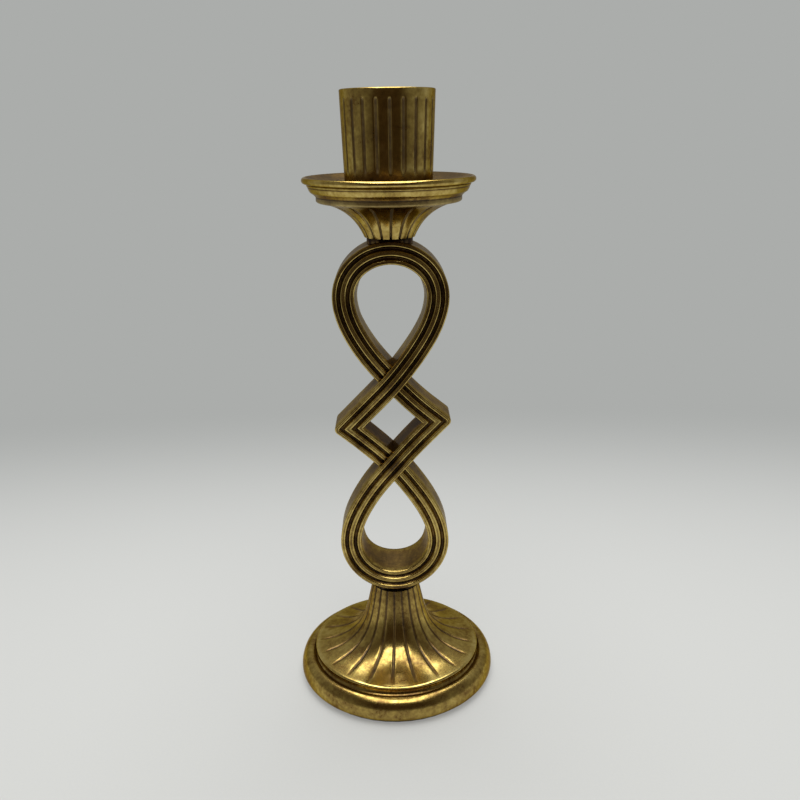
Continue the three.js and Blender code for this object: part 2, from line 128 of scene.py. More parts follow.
def spin_outline(name, outline, columns):
    """A closed (radius, height) outline, drawn vertex by vertex and spun about the upright axis."""
    bpy.ops.object.select_all(action="DESELECT")
    bpy.ops.mesh.primitive_plane_add(size=MM)
    piece = bpy.context.object
    piece.name = name
    bpy.ops.object.mode_set(mode="EDIT")
    bpy.ops.mesh.merge(type="CENTER")
    bpy.ops.transform.translate(value=(outline[0].x * MM, 0, outline[0].y * MM))
    for here, there in zip(outline, outline[1:] + outline[:1]):
        step = (there - here) * MM
        bpy.ops.mesh.extrude_vertices_move(TRANSFORM_OT_translate={"value": (step.x, 0, step.y)})
    bpy.ops.mesh.select_all(action="SELECT")
    bpy.ops.mesh.spin(steps=columns, angle=math.tau, center=(0, 0, 0), axis=(0, 0, 1))
    close_seams(spin_gap)
    return piece


def outline_rows(piece, outline):
    """For each vertex of a spun piece, the row of the outline that it was spun from."""
    rows = kdtree.KDTree(len(outline))
    for row, spot in enumerate(outline):
        rows.insert((spot.x, spot.y, 0), row)
    rows.balance()
    return [rows.find((math.hypot(vertex.co.x, vertex.co.y) / MM, vertex.co.z / MM, 0))[1]
            for vertex in piece.data.vertices]


def select_only(pieces):
    """Selects these pieces and nothing else, with the first as the active one."""
    bpy.ops.object.select_all(action="DESELECT")
    for piece in pieces:
        piece.select_set(True)
    bpy.context.view_layer.objects.active = pieces[0]


def set_finish(piece, patina, dust):
    """Keeps at each vertex how dark the patina is, from 0 on rubbed gold to 1 in a recess, and how much
    of a dull film of dust and old wax lies over it. On the ribbon both also carry painted shade."""
    for name, values in (("patina", patina), ("dust", dust)):
        piece.data.attributes.new(name, "FLOAT", "POINT").data.foreach_set("value", values)


def finish_piece(piece, material, node, crease):
    """Smooth shading up to the crease angle, the finish, and the piece's place in the frame."""
    select_only([piece])
    bpy.ops.object.shade_smooth_by_angle(angle=math.radians(crease))
    dress(piece, material)
    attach(piece, "root")
    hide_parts(node)


# How close a spun piece's doubled vertices lie, and the angle past which its edges stay sharp
spin_gap, turned_crease = 0.002, 38
# Across a flute: places from its middle, as shares of its half width, and the depth at each place
flute_places = (-1.12, -0.92, -0.72, -0.5, -0.25, 0, 0.25, 0.5, 0.72, 0.92, 1.12)
flute_depths = (0, 0.1, 0.38, 0.72, 0.94, 1, 0.94, 0.72, 0.38, 0.1, 0)
land_columns = 5
flute_columns = len(flute_places) + land_columns
# The most of the pitch that half a flute takes, and how the film and the dust spread up its sides
half_flute_limit, film_spread, dust_spread = 0.3, 0.45, 2.5


def cut_flutes(piece, outline, run, count, depth, turn, dark, film, dull):
    """Moves a spun piece's columns into rounded flutes along the rows of its outline that run names,
    each with the flute's width there and its share of the full depth. The patina starts from dark in
    each row and gains the film at the bottom of a flute, where dust lies as well."""
    pitch = math.tau / count
    column_angle = pitch / flute_columns
    plain_width = min(width for width, _ in run.values())
    patina = []
    dust = []
    for vertex, row in zip(piece.data.vertices, outline_rows(piece, outline)):
        spot = outline[row]
        column = round((math.atan2(vertex.co.y, vertex.co.x) + math.tau) / column_angle)
        flute, slot = divmod(column, flute_columns)
        width, deep = run.get(row, (plain_width, 0))
        half = min(width / 2 / spot.x, pitch * half_flute_limit)
        share = 0
        if slot < len(flute_places):
            offset = half * flute_places[slot]
            share = flute_depths[slot]
        else:
            first = half * flute_places[-1]
            land = pitch - 2 * first
            offset = first + land * (slot - len(flute_places) + 1) / (land_columns + 1)
        cut = share * deep
        along = (outline[(row + 1) % len(outline)] - outline[row - 1]).normalized()
        shown = spot + Vector((-along.y, along.x)) * depth * cut
        angle = flute * pitch + offset + math.radians(turn) - math.pi / 2
        vertex.co = Vector((shown.x * math.cos(angle), shown.x * math.sin(angle), shown.y)) * MM
        patina.append(min(1, dark[row] + film * cut ** film_spread))
        dust.append(dull * min(1, dust_spread * cut))
    set_finish(piece, patina, dust)


# Antique brass: gold with a clear gloss where it was rubbed, clouded with brown where the dip took
# unevenly, brown-black and duller in grooves and corners, under a thin worn lacquer. Dust and old wax
# lie in the flutes as a pale, matt film, and the casting's grain, drawn coarser than it is so that it
# shows, makes the gloss uneven.
cloud_size, fleck_size, red_patch_size = 8, 1.3, 4.5
cloud_share, fleck_share, rubbed_clean, dust_dulling = 0.8, 0.5, 0.53, 0.35
grain_size, grain_height = 0.6, 0.05
antique_brass, shader = new_material("antique_brass")
place = add_node(antique_brass, "ShaderNodeTexCoord", {}).outputs["Object"]
# The patina attribute also carries the shade painted around the ribbon's crossings and in its diamond
patina = add_node(antique_brass, "ShaderNodeAttribute", {}, attribute_name="patina").outputs["Fac"]
clouds = add_node(antique_brass, "ShaderNodeTexNoise", {
    "Vector": place, "Scale": 1 / (cloud_size * MM), "Detail": 4, "Roughness": 0.6})
flecks = add_node(antique_brass, "ShaderNodeTexNoise", {
    "Vector": place, "Scale": 1 / (fleck_size * MM), "Detail": 3, "Roughness": 0.6})
cloudy = add_node(antique_brass, "ShaderNodeMath", {
    0: clouds.outputs["Fac"], 1: cloud_share, 2: patina}, operation="MULTIPLY_ADD")
flecked = add_node(antique_brass, "ShaderNodeMath", {
    0: flecks.outputs["Fac"], 1: fleck_share, 2: cloudy.outputs[0]}, operation="MULTIPLY_ADD")
tarnish = add_node(antique_brass, "ShaderNodeMapRange", {
    "Value": flecked.outputs[0], "From Min": rubbed_clean, "From Max": rubbed_clean + 1})
tones = add_node(antique_brass, "ShaderNodeValToRGB", {"Fac": tarnish.outputs[0]})
stops = tones.color_ramp.elements
stops[0].position, stops[0].color = 0, linear("#CFB86F")
stops[1].position, stops[1].color = 1, linear("#160D06")
for position, colour in ((0.2, "#AE954F"), (0.42, "#7A5F31"), (0.7, "#3B2A17")):
    stops.new(position).color = linear(colour)
red_patches = add_node(antique_brass, "ShaderNodeTexNoise", {
    "Vector": place, "Scale": 1 / (red_patch_size * MM), "Detail": 5, "Roughness": 0.65})
red_share = add_node(antique_brass, "ShaderNodeMapRange", {
    "Value": red_patches.outputs["Fac"], "From Min": 0.52, "From Max": 0.75, "To Max": 0.3})
brass_tone = add_node(antique_brass, "ShaderNodeMix", {
    0: red_share.outputs[0], 6: tones.outputs["Color"], 7: linear("#A0653A")}, data_type="RGBA",
    blend_type="MULTIPLY")
gloss = add_node(antique_brass, "ShaderNodeMapRange", {
    "Value": tarnish.outputs[0], "To Min": 0.14, "To Max": 0.5})
dust = add_node(antique_brass, "ShaderNodeAttribute", {}, attribute_name="dust").outputs["Fac"]
dusty_tone = add_node(antique_brass, "ShaderNodeMix", {
    0: dust, 6: brass_tone.outputs[2], 7: linear("#887B62")}, data_type="RGBA")
dusty_gloss = add_node(antique_brass, "ShaderNodeMath", {
    0: dust, 1: dust_dulling, 2: gloss.outputs[0]}, operation="MULTIPLY_ADD", use_clamp=True)
bare_metal = add_node(antique_brass, "ShaderNodeMath", {0: 1, 1: dust}, operation="SUBTRACT")
grain = add_node(antique_brass, "ShaderNodeTexNoise", {
    "Vector": place, "Scale": 1 / (grain_size * MM), "Detail": 2})
casting = add_node(antique_brass, "ShaderNodeBump", {
    "Height": grain.outputs["Fac"], "Strength": 0.1, "Distance": grain_height * MM})
link(antique_brass, dusty_tone.outputs[2], shader, "Base Color")
link(antique_brass, dusty_gloss.outputs[0], shader, "Roughness")
link(antique_brass, bare_metal.outputs[0], shader, "Metallic")
link(antique_brass, casting.outputs["Normal"], shader, "Normal")
shader.inputs["Specular Tint"].default_value = linear("#C2AE7A")
shader.inputs["Coat Weight"].default_value = 0.15
shader.inputs["Coat Roughness"].default_value = 0.15

# The outline goes up the outside, from the floor to the stem's seat, and down the hollow again
rim_floor, rim_radius, rim_width, rim_widest, rim_top = 0.5, 36.1, 3.7, 3.6, 9.3
rim_first, rim_last, rim_low_steps, rim_high_steps = -62, 118, 7, 18
bell_edge, bell_edge_slope, bell_edge_pull = Vector((30.6, 11.8)), math.radians(6.4), 20.1
foot_top, bell_top_lean, bell_top_pull = Vector((8.5, 36.7)), math.radians(14.4), 12.7
bell_steps, bell_crowding, steps_under_edge = 34, 1.15, 2
edge_across, edge_up, edge_drop = 1.2, 0.6, 0.5
edge_first, edge_last, edge_steps = -60, 78, 9
cove_pull, cove_last_pull, cove_steps = Vector((30, 8.9)), Vector((29.7, 10)), 6
foot_flutes, foot_flute_depth, foot_flute_turn = 21, 0.38, -3.5
foot_flute_width, foot_flute_top_width, foot_flute_top_share = 1.6, 0.9, 0.5
flute_margin, flute_fade = 1, 8
rim_wall, felt_ledge, felt_thickness, bell_wall = 5, 2.8, 1.5, 3
hollow_top, hollow_top_pull, hollow_edge_pull = Vector((8.5, 23)), Vector((2, -6)), Vector((-13, 1.6))
hollow_steps = 10
bolt_hole, spigot_hole, spigot_hole_depth = 3.3, 5.1, 2.8
bell_pull = bell_edge + bell_edge_pull * Vector(
    (-math.cos(bell_edge_slope), math.sin(bell_edge_slope)))
top_pull = foot_top + bell_top_pull * Vector((math.sin(bell_top_lean), -math.cos(bell_top_lean)))
bell = [bezier(bell_edge, bell_pull, top_pull, foot_top, (i / bell_steps) ** bell_crowding)
        for i in range(steps_under_edge, bell_steps + 1)]
rim_centre = Vector((rim_radius - rim_width, rim_widest))
rim = (arc(rim_centre, rim_width, rim_widest - rim_floor, rim_first, 0, rim_low_steps)
       + arc(rim_centre, rim_width, rim_top - rim_widest, 0, rim_last, rim_high_steps)[1:])
edge = arc(bell_edge - Vector((edge_across, edge_drop)), edge_across, edge_up,
           edge_first, edge_last, edge_steps)
cove = [bezier(rim[-1], cove_pull, cove_last_pull, edge[0], i / cove_steps)
        for i in range(1, cove_steps)]
hollow_edge = bell_edge - Vector((bell_wall, bell_wall))
hollow = [bezier(hollow_top, hollow_top + hollow_top_pull, hollow_edge + hollow_edge_pull, hollow_edge,
                 i / hollow_steps) for i in range(hollow_steps + 1)]
rim_inside = rim_radius - rim_wall
ledge_radius = rim_inside + felt_ledge
spigot_floor = foot_top.y - spigot_hole_depth
foot_outline = (
    [Vector((ledge_radius, rim_floor))] + rim + cove + edge + bell
    + [Vector((spigot_hole, foot_top.y)), Vector((spigot_hole, spigot_floor)),
       Vector((bolt_hole, spigot_floor)), Vector((bolt_hole, hollow_top.y))]
    + hollow
    + [Vector((rim_inside, rim_widest)), Vector((rim_inside, felt_thickness)),
       Vector((ledge_radius, felt_thickness))])

# The patina in each row: darker behind the rim, in the cove and near the stem, none on the edge
rim_tone, rim_back_tone, rim_back = 0.17, 0.2, 84
bell_tone, bell_top_tone, bell_top_reach = 0.14, 0.12, 8
floor_tone, cove_tone, hollow_tone = 0.3, 0.22, 0.5
under_edge_tones = [0.2, 0.1, 0.05]
foot_film, foot_dull = 0.42, 0.12
foot_dark = [floor_tone] + [rim_tone] * (rim_low_steps + 1)
for i in range(1, rim_high_steps + 1):
    behind = max(0, (rim_last * i / rim_high_steps - rim_back) / (rim_last - rim_back))
    foot_dark.append(rim_tone + rim_back_tone * behind)
foot_dark += [cove_tone] * len(cove) + under_edge_tones + [0] * (len(edge) - len(under_edge_tones))
first_flute_row = len(foot_dark)
foot_dark += [bell_tone + bell_top_tone * max(0, 1 - (foot_top.y - spot.y) / bell_top_reach)
              for spot in bell]
foot_dark += [hollow_tone] * (len(foot_outline) - len(foot_dark))
foot_run = {}
for row, spot in enumerate(bell, first_flute_row):
    inside = max(0, min(1, (bell_edge.x - flute_margin - spot.x) / flute_fade))
    outward = (spot.x - foot_top.x) / (bell_edge.x - foot_top.x)
    width = foot_flute_top_width + (foot_flute_width - foot_flute_top_width) * outward
    deep = foot_flute_top_share + (1 - foot_flute_top_share) * outward
    foot_run[row] = (width, deep * inside * inside * (3 - 2 * inside))
foot = spin_outline("bell_foot", foot_outline, foot_flutes * flute_columns)
cut_flutes(foot, foot_outline, foot_run, foot_flutes, foot_flute_depth, foot_flute_turn,
           foot_dark, foot_film, foot_dull)
finish_piece(foot, antique_brass, "foot", turned_crease)


# Fasteners: a bolt, a screw and two washers of plain brass, turned and left as they came, dulled with
# age. The bolt comes up from inside the hollow foot into the stem, and the screw comes down from
# inside the cup.

# Turned brass: fine rings about the axis from the tool, drawn coarser than they are so that they show,
# and a thin dull film. A wave texture of scale 1 repeats after a tenth of pi
tool_ring, tool_mark, film_size = 0.35, 0.05, 2.5
wave_length = math.pi / 10
plain_brass, shader = new_material("turned_brass_dulled")
place = add_node(plain_brass, "ShaderNodeTexCoord", {}).outputs["Object"]
rings = add_node(plain_brass, "ShaderNodeTexWave", {
    "Vector": place, "Scale": wave_length / (tool_ring * MM), "Distortion": 0.6, "Detail": 2},
    wave_type="RINGS", rings_direction="Z")
film = add_node(plain_brass, "ShaderNodeTexNoise", {
    "Vector": place, "Scale": 1 / (film_size * MM), "Detail": 4})
brass_tone = add_node(plain_brass, "ShaderNodeMix", {
    0: film.outputs["Fac"], 6: linear("#C2A660"), 7: linear("#7D6233")}, data_type="RGBA")
gloss = add_node(plain_brass, "ShaderNodeMapRange", {
    "Value": film.outputs["Fac"], "To Min": 0.3, "To Max": 0.5})
tooling = add_node(plain_brass, "ShaderNodeBump", {
    "Height": rings.outputs["Fac"], "Strength": 0.15, "Distance": tool_mark * MM})
link(plain_brass, brass_tone.outputs[2], shader, "Base Color")
link(plain_brass, gloss.outputs[0], shader, "Roughness")
link(plain_brass, tooling.outputs["Normal"], shader, "Normal")
shader.inputs["Metallic"].default_value = 1
for name in ("foot_bolt", "foot_washer", "cup_washer", "cup_screw"):
    dress(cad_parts[name], plain_brass)


# Ribbon stem: one cast band with three rounded reeds on its front and back, woven into a loop, a
# diamond and a loop. The strand that rises to the right is on top at both crossings. A low boss with a
# tapped spigot at each end takes the bolt and the screw.
stem_seat, stem_height = foot_top.y, 127.3
band_width, band_depth, band_end_depth = 7.3, 13, 16.2
middle_reed, reed_groove, groove_depth = 1.8, 1.2, 0.9
# Points at a reed's edge: how far in and how far down they lie, and their patina, rubbed off outside
reed_edge = ((0, 0.46, 0.18), (0.1, 0.2, 0), (0.27, 0.05, -0.05), (0.5, 0, 0.06))
reed_hollow, hollow_dark, hollow_dust = 0.1, 0.3, 0.12
groove_places, groove_dark, groove_floor_dark = (-0.7, -0.35, 0, 0.35, 0.7), 0.3, 0.28
wall_places, wall_edge = (-0.6, -0.2, 0.2, 0.6), 1.2
wall_dark, wall_dust = 0.36, 0.12
loop_half_width, loop_rise, loop_pull = 15.7, 14.8, 15.7
loop_draft, draft_start, draft_reach = 0.9, 9, 12
corner = Vector((-15.55, -1.1))
corner_rounding, mitre_clearance = 2, 0.62
upper_slope, lower_slope = math.radians(46), math.radians(37.9)
strand_pull = 12
loop_steps, strand_steps, fan_steps = 30, 48, 8
weave_lift, weave_half = 0.8, 14
boss_rise, low_boss, high_boss = 0.8, 8.3, 7.6
spigot, spigot_length, tapped_depth = 4.8, 2.5, 6.3
stem_middle = stem_seat + stem_height / 2
loop_middle = stem_height / 2 - boss_rise - band_width / 2 - loop_rise
crossing = -corner.x * math.tan((upper_slope + lower_slope) / 2) - corner.y


def band_section():
    """The band's section as (across, depth, patina, dust) points, round from its left edge: three
    reeds with rubbed edges and a slight hollow, grooves between them, a wall, and the same again on the
    back."""
    half = band_width / 2
    face = band_depth / 2
    outer_reed = half - middle_reed / 2 - reed_groove
    outer_place = half - outer_reed / 2
    edge_depth = reed_edge[0][1]
    rubbed = 1 - (1 - wall_edge / face) ** 2
    front = [(-half, -face + wall_edge, wall_dark * rubbed, wall_dust * rubbed)]
    for reed, width in ((-outer_place, outer_reed), (0, middle_reed), (outer_place, outer_reed)):
        for inset, down, dark in reed_edge:
            front.append((reed - width / 2 + inset, -face + down, dark, 0))
        front.append((reed, -face + reed_hollow, hollow_dark, hollow_dust))
        for inset, down, dark in reversed(reed_edge):
            front.append((reed + width / 2 - inset, -face + down, dark, 0))
        if reed < outer_place:
            groove = reed + (width + reed_groove) / 2
            for place in groove_places:
                hollow = 1 - place * place
                down = edge_depth + (groove_depth - edge_depth) * hollow
                dark = groove_dark + groove_floor_dark * hollow
                front.append((groove + place * reed_groove / 2, -face + down, dark, 0))
    front.append((half, -face + wall_edge, wall_dark * rubbed, wall_dust * rubbed))
    wall = [(half, share * face, wall_dark * (1 - share * share), wall_dust * (1 - share * share))
            for share in wall_places]
    back = [(-across, -depth, dark, dust) for across, depth, dark, dust in front]
    other_wall = [(-across, -depth, dark, dust) for across, depth, dark, dust in wall]
    return front + wall + back + other_wall


def loop_stations(height, first, last):
    """Stations round a loop, from one angle to another in degrees: each the middle of the band and the
    direction across it."""
    stations = []
    for i in range(loop_steps + 1):
        angle = math.radians(first + (last - first) * i / loop_steps)
        middle = Vector((loop_half_width * math.cos(angle), height + loop_rise * math.sin(angle)))
        across = Vector((loop_rise * math.cos(angle), loop_half_width * math.sin(angle))).normalized()
        stations.append((middle, across))
    return stations


def strand_stations(start, pull, last_pull, end):
    """Stations along a strand between a loop and the corner, without its ends and without those whose
    inner edge would pass the mitre."""
    spots = [bezier(start, pull, last_pull, end, i / strand_steps) for i in range(strand_steps + 1)]
    stations = []
    for before, spot, after in zip(spots, spots[1:], spots[2:]):
        along = (after - before).normalized()
        if (spot - corner).length > mitre_clearance * band_width:
            stations.append((spot, Vector((-along.y, along.x))))
    return stations


def place_section(section, middle, across, outside=None):
    """The section's points at a station. With an outside direction, the station is part of the fan
    that rounds the outer edge of the mitred corner. The inner wall of a loop draws in to the back."""
    share = max(0, min(1, (abs(middle.y) - loop_middle) / loop_rise))
    swell = share * share * (band_end_depth - band_depth) / 2
    in_loop = (abs(middle.y) - loop_middle + draft_start) / draft_reach
    draft = loop_draft * max(0, min(1, in_loop))
    lift = 0
    for height, way in ((crossing, -1), (-crossing, 1)):
        away = min((middle - Vector((0, height))).length / weave_half, 1)
        lift += way * weave_lift * (1 + math.cos(math.pi * away)) / 2
    points = []
    for side, depth, _, _ in section:
        backward = 0.5 + depth / band_depth
        side += draft * backward * min(0, side) / (band_width / 2)
        beyond = -side - (band_width / 2 - corner_rounding)
        if outside and beyond > 0:
            spot = middle + across * (side + beyond) + outside * beyond
        else:
            spot = middle + across * side
        out = math.copysign(swell, depth)
        points.append(Vector((spot.x, depth + out + lift, stem_middle + spot.y)) * MM)
    return points


section = band_section()
incoming = Vector((math.sin(upper_slope), -math.cos(upper_slope)))
outgoing = Vector((math.sin(lower_slope), math.cos(lower_slope)))
mitre = (incoming + outgoing).normalized()
mitre /= mitre.dot(incoming)
upper_pull = corner + strand_pull * Vector((math.cos(upper_slope), math.sin(upper_slope)))
lower_pull = corner + strand_pull * Vector((math.cos(lower_slope), -math.sin(lower_slope)))
high_side = Vector((loop_half_width, loop_middle))
low_side = Vector((loop_half_width, -loop_middle))
side_pull = Vector((0, loop_pull))
upper_half = (loop_stations(loop_middle, 90, 0)
              + strand_stations(high_side, high_side - side_pull, upper_pull, corner))
lower_half = (strand_stations(corner, lower_pull, low_side + side_pull, low_side)
              + loop_stations(-loop_middle, 0, -90))
fan = []
for i in range(fan_steps + 1):
    outward = -(incoming.lerp(outgoing, i / fan_steps)).normalized()
    fan.append(place_section(section, corner, mitre, outward))
rings = ([place_section(section, *station) for station in upper_half] + fan
         + [place_section(section, *station) for station in lower_half])

# The ring of the section is extruded from station to station. Shade is painted in around the
# crossings, where one strand passes under the other, and on the diamond's inner walls: darker patina
# there, and thinner dust inside the diamond
under_reach, under_strand_painted_shade = 5.5, 0.25
wall_reach, wall_painted_shade = 12, 0.4
diamond_painted_shade, diamond_dust_share_for_shade, face_margin = 0.3, 0.6, 1
bpy.ops.object.select_all(action="DESELECT")
bpy.ops.mesh.primitive_circle_add(vertices=len(section), radius=MM, fill_type="NOTHING")
band = bpy.context.object
band.name = "ribbon_stem_band"
bpy.ops.object.mode_set(mode="EDIT")
for _ in rings[1:]:
    bpy.ops.mesh.extrude_region_move(TRANSFORM_OT_translate={"value": (0, 0, MM)})
bpy.ops.object.mode_set(mode="OBJECT")
patina = []
dust = []
for vertex in band.data.vertices:
    ring, place = divmod(vertex.index, len(section))
    vertex.co = rings[ring][place]
    spot = Vector((vertex.co.x / MM, vertex.co.z / MM - stem_middle))
    near_crossing = min((spot - Vector((0, crossing * way))).length for way in (1, -1))
    across, depth, dark, film = section[place]
    on_wall = abs(depth) < band_depth / 2 - face_margin
    # Painted shade near the crossings and inside the diamond: darker patina, thinner dust in the
    # diamond
    in_diamond = on_wall and across > 0 and abs(spot.y) < crossing
    shade = wall_painted_shade * max(0, 1 - near_crossing / wall_reach) if on_wall else 0
    under = under_strand_painted_shade * max(0, 1 - near_crossing / under_reach)
    patina.append(dark + max(shade, under, diamond_painted_shade if in_diamond else 0))
    dust.append(film * (diamond_dust_share_for_shade if in_diamond else 1))
set_finish(band, patina, dust)


def join_pieces(pieces):
    """Makes one object of several."""
    select_only(pieces)
    bpy.ops.object.join()
    return pieces[0]


# The half is copied and turned over, and the two halves meet at the bosses
seam_gap = 0.01
bpy.ops.object.duplicate()
turned_half = bpy.context.object
for vertex in turned_half.data.vertices:
    vertex.co = Vector((-vertex.co.x, vertex.co.y, 2 * stem_middle * MM - vertex.co.z))
join_pieces([band, turned_half])
close_seams(seam_gap)
finish_places = kdtree.KDTree(len(band.data.vertices))
for vertex in band.data.vertices:
    finish_places.insert(vertex.co, vertex.index)
finish_places.balance()
band_patina_and_shade = [item.value for item in band.data.attributes["patina"].data]
band_dust = [item.value for item in band.data.attributes["dust"].data]


def apply_boolean(piece, tool, operation, self_crossing):
    """Joins a tool to the piece or cuts it from the piece, and removes the tool."""
    select_only([piece])
    cut = piece.modifiers.new(operation.lower(), "BOOLEAN")
    cut.operation = operation
    cut.solver = "EXACT"
    cut.use_self = self_crossing
    cut.object = tool
    bpy.ops.object.modifier_apply(modifier=cut.name)
    bpy.data.objects.remove(tool)


# The bosses reach into the band and stay behind its grooves. Their thin cores are taken by the holes
reach_share, groove_clearance = 0.6, 0.3
boss_core, boss_columns = 0.4, 96
hole_core, hole_columns, hole_start = 0.05, 48, 2 * spigot_length
buried = boss_rise + reach_share * band_width
flat_front = band_end_depth / 2 - groove_depth - groove_clearance
bosses = []
holes = []
for seat, way, radius in ((stem_seat, 1, low_boss), (stem_seat + stem_height, -1, high_boss)):
    boss_outline = [Vector((across, seat + way * into)) for across, into in (
        (boss_core, -spigot_length), (spigot, -spigot_length), (spigot, 0),
        (radius, 0), (radius, buried), (boss_core, buried))]
    bosses.append(spin_outline("boss", boss_outline, boss_columns))
    bpy.ops.object.mode_set(mode="EDIT")
    for face_side in (-1, 1):
        bpy.ops.mesh.select_all(action="SELECT")
        bpy.ops.mesh.bisect(plane_co=(0, face_side * flat_front * MM, 0), plane_no=(0, face_side, 0),
                            use_fill=True, clear_outer=True)
    bpy.ops.object.mode_set(mode="OBJECT")
    hole_outline = [Vector((across, seat + way * into)) for across, into in (
        (hole_core, -hole_start), (bolt_hole, -hole_start), (bolt_hole, tapped_depth),
        (hole_core, tapped_depth))]
    holes.append(spin_outline("tapped_hole", hole_outline, hole_columns))
apply_boolean(band, join_pieces(bosses), "UNION", True)
apply_boolean(band, join_pieces(holes), "DIFFERENCE", False)

# The cuts made new vertices, so each takes the finish of the nearest one of the band. The bosses are
# dark, and so are the corners round them
boss_dark, same_place, ribbon_crease = 0.55, 0.6, 40
end_dark, end_reach, end_half_width = 0.5, 3, 14
patina = []
dust = []
for vertex in band.data.vertices:
    _, nearest, distance = finish_places.find(vertex.co)
    on_band = distance < same_place * MM
    to_seat = stem_height / 2 - abs(vertex.co.z / MM - stem_middle)
    near_end = max(0, 1 - to_seat / end_reach) * max(0, 1 - abs(vertex.co.x / MM) / end_half_width)
    patina.append(end_dark * near_end + (band_patina_and_shade[nearest] if on_band else boss_dark))
    dust.append(band_dust[nearest] if on_band else 0)
for name in ("patina", "dust"):
    band.data.attributes.remove(band.data.attributes[name])
set_finish(band, patina, dust)
finish_piece(band, antique_brass, "ribbon_stem", ribbon_crease)


# Neck: a cast flare with 18 flutes between the stem and the drip pan. A round register on its top
# centres the pan, and the screw passes down through it into the stem.
neck_seat, neck_height = stem_seat + stem_height, 11.2
neck_foot, neck_foot_lean, neck_foot_pull = 8.3, math.radians(24), 3.9
neck_top, neck_top_lean, neck_top_pull = 21.9, math.radians(76.5), 9.2
neck_flutes, neck_flute_depth, neck_flute_turn = 18, 0.6, 2.5
neck_flute_foot_width, neck_flute_top_width = 0.9, 1.3
neck_flute_end, neck_flute_fade = 20, 3
neck_tone, neck_outer_tone, neck_hidden_tone = 0.05, 0.07, 0.6
neck_film, neck_dull = 0.3, 0.35
flare_steps = 26
register, register_height = 9, 1.6
pan_seat = neck_seat + neck_height
neck_low, neck_high = Vector((neck_foot, neck_seat)), Vector((neck_top, pan_seat))
neck_low_pull = neck_low + neck_foot_pull * Vector(
    (math.sin(neck_foot_lean), math.cos(neck_foot_lean)))
neck_high_pull = neck_high - neck_top_pull * Vector(
    (math.sin(neck_top_lean), math.cos(neck_top_lean)))
flare = [bezier(neck_low, neck_low_pull, neck_high_pull, neck_high, i / flare_steps)
         for i in range(flare_steps + 1)]
register_top, neck_spigot_top = pan_seat + register_height, neck_seat + spigot_hole_depth
neck_outline = flare + [Vector(spot) for spot in (
    (register, pan_seat), (register, register_top), (bolt_hole, register_top),
    (bolt_hole, neck_spigot_top), (spigot_hole, neck_spigot_top), (spigot_hole, neck_seat))]
neck_run = {}
neck_dark = []
for row, spot in enumerate(neck_outline):
    if row < len(flare):
        outward = (spot.x - neck_foot) / (neck_top - neck_foot)
        width = neck_flute_foot_width + (neck_flute_top_width - neck_flute_foot_width) * outward
        neck_run[row] = (width, max(0, min(1, (neck_flute_end - spot.x) / neck_flute_fade)))
        neck_dark.append(neck_tone + neck_outer_tone * outward)
    else:
        neck_dark.append(neck_hidden_tone)
neck = spin_outline("fluted_neck", neck_outline, neck_flutes * flute_columns)
cut_flutes(neck, neck_outline, neck_run, neck_flutes, neck_flute_depth, neck_flute_turn,
           neck_dark, neck_film, neck_dull)
finish_piece(neck, antique_brass, "neck", turned_crease)


# Drip pan: a shallow cast dish, turned to a rolled lip, a bead, a flared band, a slope and a low step.
# It sits on the neck's register, and the cup sits on the raised round in its middle.
pan_foot, pan_step, step_rounding, pan_step_height = 22.4, 23.65, 0.8, 1.85
pan_slope, pan_slope_height = 25.45, 3.35
pan_band, pan_band_height = 26.2, 5.0
step_break, slope_hollow, band_swell = Vector((0, 0.2)), Vector((-0.1, 0.1)), Vector((0.08, -0.04))
bead, bead_inset, bead_first, bead_last = 0.5, 0.2, -70, 65
lip_radius, lip_thickness, lip_top, lip_first, lip_last = 28.1, 2.0, 8.05, -115, 105
dish_height, dish_edge, dish_edge_rise, dish_floor, dish_end = 5.6, 24.5, 1.3, 21, 17
seat_radius, pan_seat_height, seat_fillet, fillet_last = 15, 6.7, 0.4, -160
register_clearance, cup_spigot, cup_spigot_length = 0.3, 7, 1.5
step_steps, slope_steps, band_steps, bead_steps = 7, 5, 6, 8
lip_steps, dish_steps, fillet_steps = 14, 8, 3
pan_columns = 192
cup_seat = pan_seat + pan_seat_height
lip = lip_thickness / 2
lip_centre = Vector((lip_radius - lip, pan_seat + lip_top - lip))
step_centre = Vector((pan_foot, pan_seat + step_rounding))
step_top = Vector((pan_step, pan_seat + pan_step_height))
slope_top = Vector((pan_slope, pan_seat + pan_slope_height))
band_top = Vector((pan_band, pan_seat + pan_band_height))
bead_centre = band_top + Vector((-bead_inset, bead))
slope = [step_top.lerp(slope_top, i / slope_steps) + slope_hollow * math.sin(math.pi * i / slope_steps)
         for i in range(slope_steps + 1)]
flared = [slope_top.lerp(band_top, i / band_steps) + band_swell * math.sin(math.pi * i / band_steps)
          for i in range(1, band_steps + 1)]
lip_arc = arc(lip_centre, lip, lip, lip_first, lip_last, lip_steps)
dish_level = pan_seat + dish_height
dish = [bezier(lip_arc[-1], Vector((dish_edge, dish_level + dish_edge_rise)),
               Vector((dish_floor, dish_level)), Vector((dish_end, dish_level)), i / dish_steps)
        for i in range(1, dish_steps + 1)]
fillet_centre = Vector((seat_radius + seat_fillet, dish_level + seat_fillet))
register_hole, register_hole_top = register + register_clearance, register_top + register_clearance
cup_hole = cup_spigot + register_clearance
cup_hole_floor = cup_seat - cup_spigot_length - register_clearance
